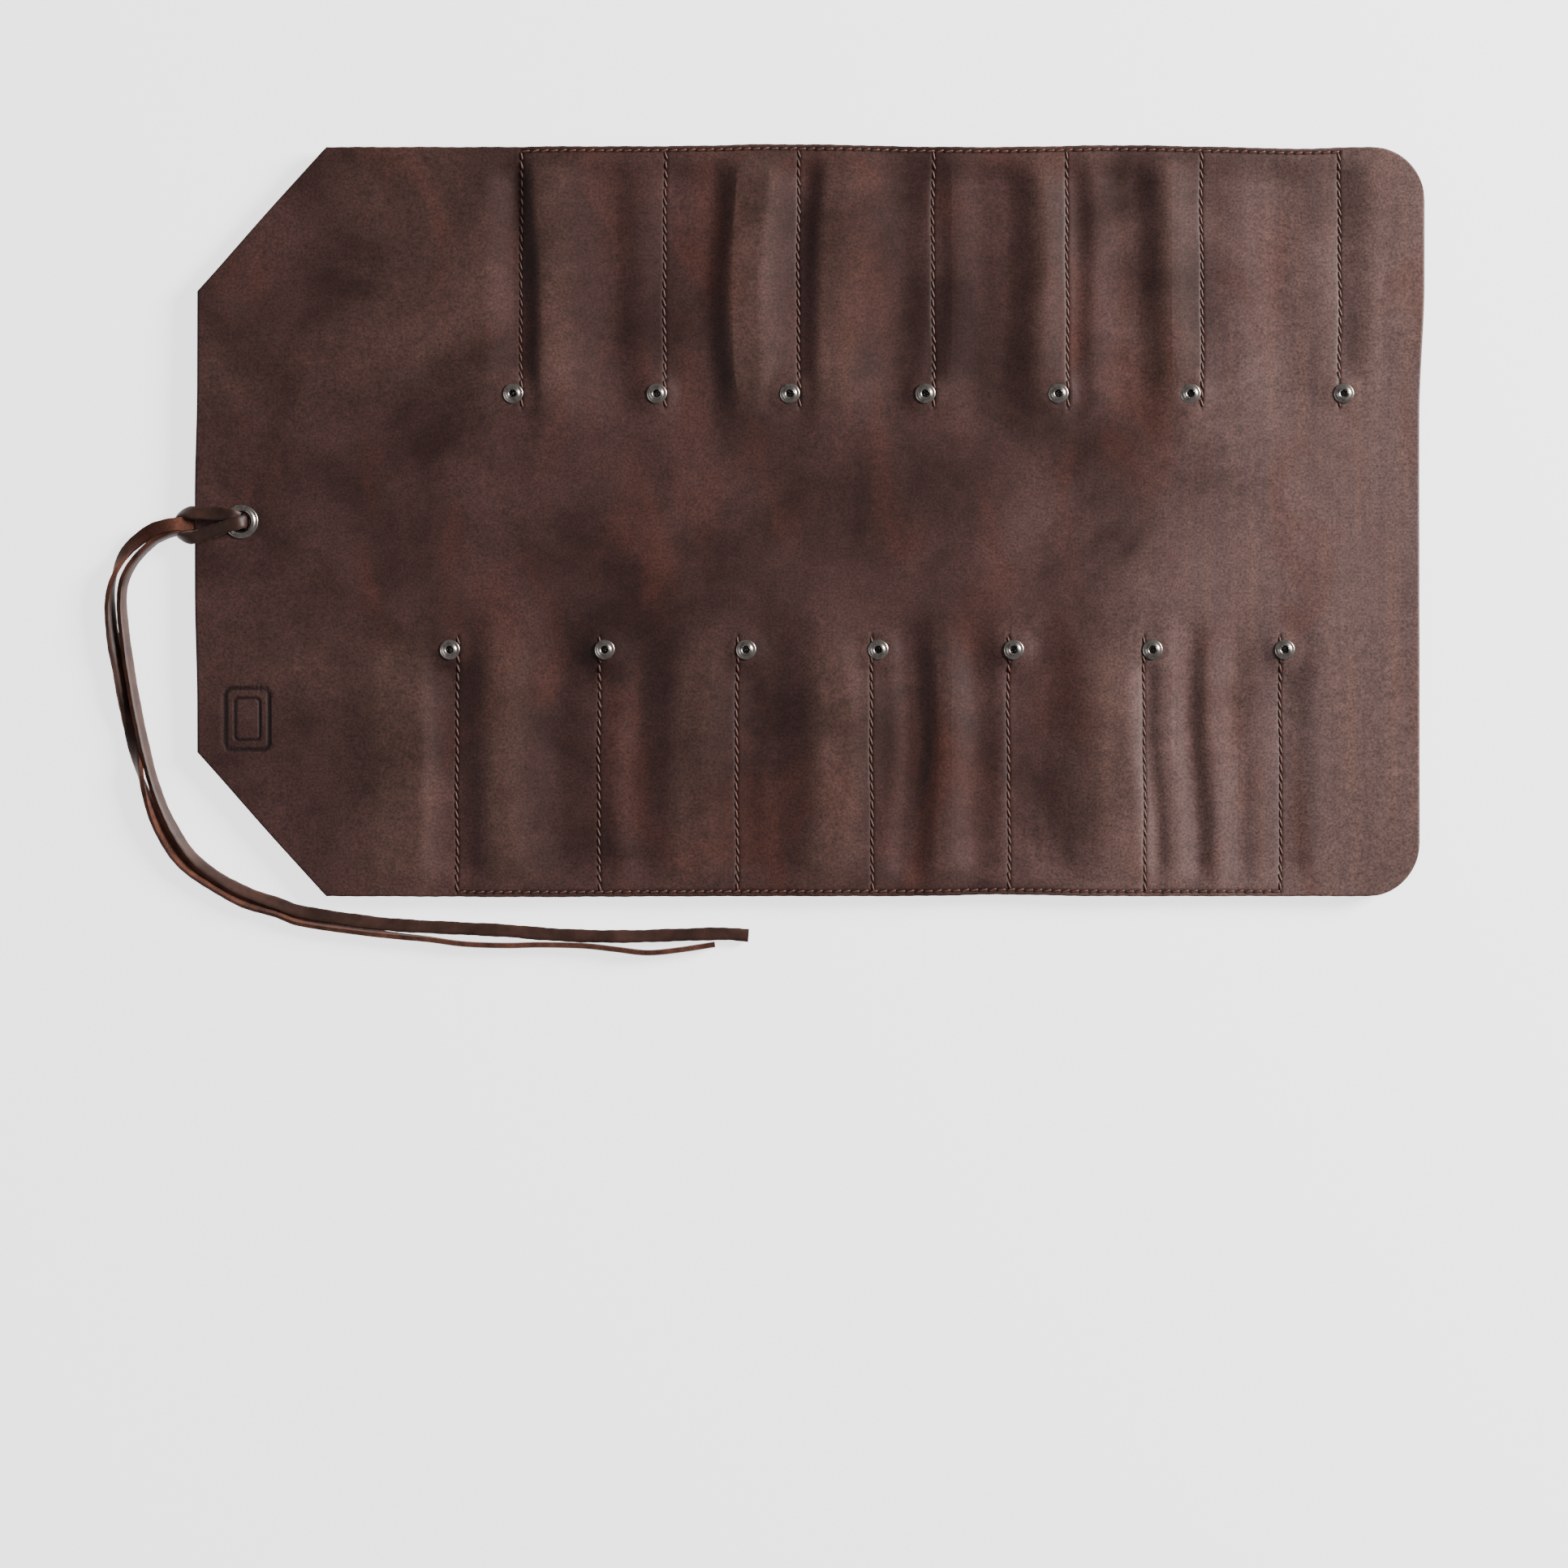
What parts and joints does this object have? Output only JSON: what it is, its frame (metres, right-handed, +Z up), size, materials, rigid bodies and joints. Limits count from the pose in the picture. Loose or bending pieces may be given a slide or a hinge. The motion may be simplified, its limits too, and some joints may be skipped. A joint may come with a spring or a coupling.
{
  "type": "roll-up pencil case",
  "caption": "Leather roll-up case laid open flat, outside face up, with sewn and riveted pockets beneath, a tapered flap, an eyelet and a tie lace.",
  "frame": {"origin": "centre of the laid-open case, on the surface it lies on", "axes": "+X along the length, from the flap to the end that is rolled in first; +Z up, out of the outside face; +Y along the width, towards the upper row of pockets"},
  "size_m": [0.6178, 0.3794, 0.0113],
  "materials": {
    "oiled_leather": "oiled pull-up leather, dark brown, with a fine nap and paler rubbed patches",
    "pocket_leather": "the same leather, flesh side, brushed",
    "lace_leather": "flat cut lace, dark smooth grain side and red-brown suede side",
    "antique_nickel": "antique nickel plate, polished and slightly worn"
  },
  "bodies": {
    "fold_01": {"outer_leather_01": "oiled_leather", "eyelet": "antique_nickel", "eyelet_washer": "antique_nickel", "lace_hitch": "lace_leather", "lace_long_tail": "lace_leather", "lace_short_tail": "lace_leather"},
    "fold_02": {"outer_leather_02": "oiled_leather"},
    "fold_03": {"outer_leather_03": "oiled_leather", "lower_pockets_03": "pocket_leather", "upper_pockets_03": "pocket_leather", "upper_rivet_1": "antique_nickel", "lower_rivet_1": "antique_nickel"},
    "fold_04": {"outer_leather_04": "oiled_leather", "lower_pockets_04": "pocket_leather", "upper_pockets_04": "pocket_leather", "lower_rivet_2": "antique_nickel"},
    "fold_05": {"outer_leather_05": "oiled_leather", "lower_pockets_05": "pocket_leather", "upper_pockets_05": "pocket_leather", "upper_rivet_2": "antique_nickel"},
    "fold_06": {"outer_leather_06": "oiled_leather", "lower_pockets_06": "pocket_leather", "upper_pockets_06": "pocket_leather", "upper_rivet_3": "antique_nickel", "lower_rivet_3": "antique_nickel"},
    "fold_07": {"outer_leather_07": "oiled_leather", "lower_pockets_07": "pocket_leather", "upper_pockets_07": "pocket_leather", "lower_rivet_4": "antique_nickel"},
    "fold_08": {"outer_leather_08": "oiled_leather", "lower_pockets_08": "pocket_leather", "upper_pockets_08": "pocket_leather", "upper_rivet_4": "antique_nickel"},
    "fold_09": {"outer_leather_09": "oiled_leather", "lower_pockets_09": "pocket_leather", "upper_pockets_09": "pocket_leather", "upper_rivet_5": "antique_nickel", "lower_rivet_5": "antique_nickel"},
    "fold_10": {"outer_leather_10": "oiled_leather", "lower_pockets_10": "pocket_leather", "upper_pockets_10": "pocket_leather"},
    "fold_11": {"outer_leather_11": "oiled_leather", "lower_pockets_11": "pocket_leather", "upper_pockets_11": "pocket_leather", "upper_rivet_6": "antique_nickel", "lower_rivet_6": "antique_nickel"},
    "fold_12": {"outer_leather_12": "oiled_leather", "lower_pockets_12": "pocket_leather", "upper_pockets_12": "pocket_leather"},
    "fold_13": {"outer_leather_13": "oiled_leather", "lower_pockets_13": "pocket_leather", "upper_pockets_13": "pocket_leather", "lower_rivet_7": "antique_nickel"},
    "fold_14": {"outer_leather_14": "oiled_leather", "upper_pockets_14": "pocket_leather", "upper_rivet_7": "antique_nickel"},
    "fold_15": {"outer_leather_15": "oiled_leather"}
  },
  "joints": [
    {"name": "roll_up", "type": "hinge", "parent": "fold_01", "child": "fold_02", "pos_m": [-0.233, 0, 0.00645], "axis": [0, 1, 0], "range_deg": [0, 60]},
    {"name": "crease_02", "type": "hinge", "parent": "fold_02", "child": "fold_03", "pos_m": [-0.1785, 0, 0.00645], "axis": [0, 1, 0], "range_deg": [0, 60]},
    {"name": "crease_03", "type": "hinge", "parent": "fold_03", "child": "fold_04", "pos_m": [-0.1295, 0, 0.00645], "axis": [0, 1, 0], "range_deg": [0, 60]},
    {"name": "crease_04", "type": "hinge", "parent": "fold_04", "child": "fold_05", "pos_m": [-0.083, 0, 0.00645], "axis": [0, 1, 0], "range_deg": [0, 60]},
    {"name": "crease_05", "type": "hinge", "parent": "fold_05", "child": "fold_06", "pos_m": [-0.0375, 0, 0.00645], "axis": [0, 1, 0], "range_deg": [0, 60]},
    {"name": "crease_06", "type": "hinge", "parent": "fold_06", "child": "fold_07", "pos_m": [0.0075, 0, 0.00645], "axis": [0, 1, 0], "range_deg": [0, 60]},
    {"name": "crease_07", "type": "hinge", "parent": "fold_07", "child": "fold_08", "pos_m": [0.047, 0, 0.00645], "axis": [0, 1, 0], "range_deg": [0, 60]},
    {"name": "crease_08", "type": "hinge", "parent": "fold_08", "child": "fold_09", "pos_m": [0.086, 0, 0.00645], "axis": [0, 1, 0], "range_deg": [0, 60]},
    {"name": "crease_09", "type": "hinge", "parent": "fold_09", "child": "fold_10", "pos_m": [0.1235, 0, 0.00645], "axis": [0, 1, 0], "range_deg": [0, 60]},
    {"name": "crease_10", "type": "hinge", "parent": "fold_10", "child": "fold_11", "pos_m": [0.1535, 0, 0.00645], "axis": [0, 1, 0], "range_deg": [0, 60]},
    {"name": "crease_11", "type": "hinge", "parent": "fold_11", "child": "fold_12", "pos_m": [0.186, 0, 0.00645], "axis": [0, 1, 0], "range_deg": [0, 60]},
    {"name": "crease_12", "type": "hinge", "parent": "fold_12", "child": "fold_13", "pos_m": [0.2155, 0, 0.00645], "axis": [0, 1, 0], "range_deg": [0, 60]},
    {"name": "crease_13", "type": "hinge", "parent": "fold_13", "child": "fold_14", "pos_m": [0.2425, 0, 0.00645], "axis": [0, 1, 0], "range_deg": [0, 60]},
    {"name": "crease_14", "type": "hinge", "parent": "fold_14", "child": "fold_15", "pos_m": [0.267, 0, 0.00645], "axis": [0, 1, 0], "range_deg": [0, 60]}
  ],
  "couplings": [
    {"joint": "crease_02", "follows": "roll_up", "ratio": 1},
    {"joint": "crease_03", "follows": "roll_up", "ratio": 1},
    {"joint": "crease_04", "follows": "roll_up", "ratio": 1},
    {"joint": "crease_05", "follows": "roll_up", "ratio": 1},
    {"joint": "crease_06", "follows": "roll_up", "ratio": 1},
    {"joint": "crease_07", "follows": "roll_up", "ratio": 1},
    {"joint": "crease_08", "follows": "roll_up", "ratio": 1},
    {"joint": "crease_09", "follows": "roll_up", "ratio": 1},
    {"joint": "crease_10", "follows": "roll_up", "ratio": 1},
    {"joint": "crease_11", "follows": "roll_up", "ratio": 1},
    {"joint": "crease_12", "follows": "roll_up", "ratio": 1},
    {"joint": "crease_13", "follows": "roll_up", "ratio": 1},
    {"joint": "crease_14", "follows": "roll_up", "ratio": 1}
  ]
}
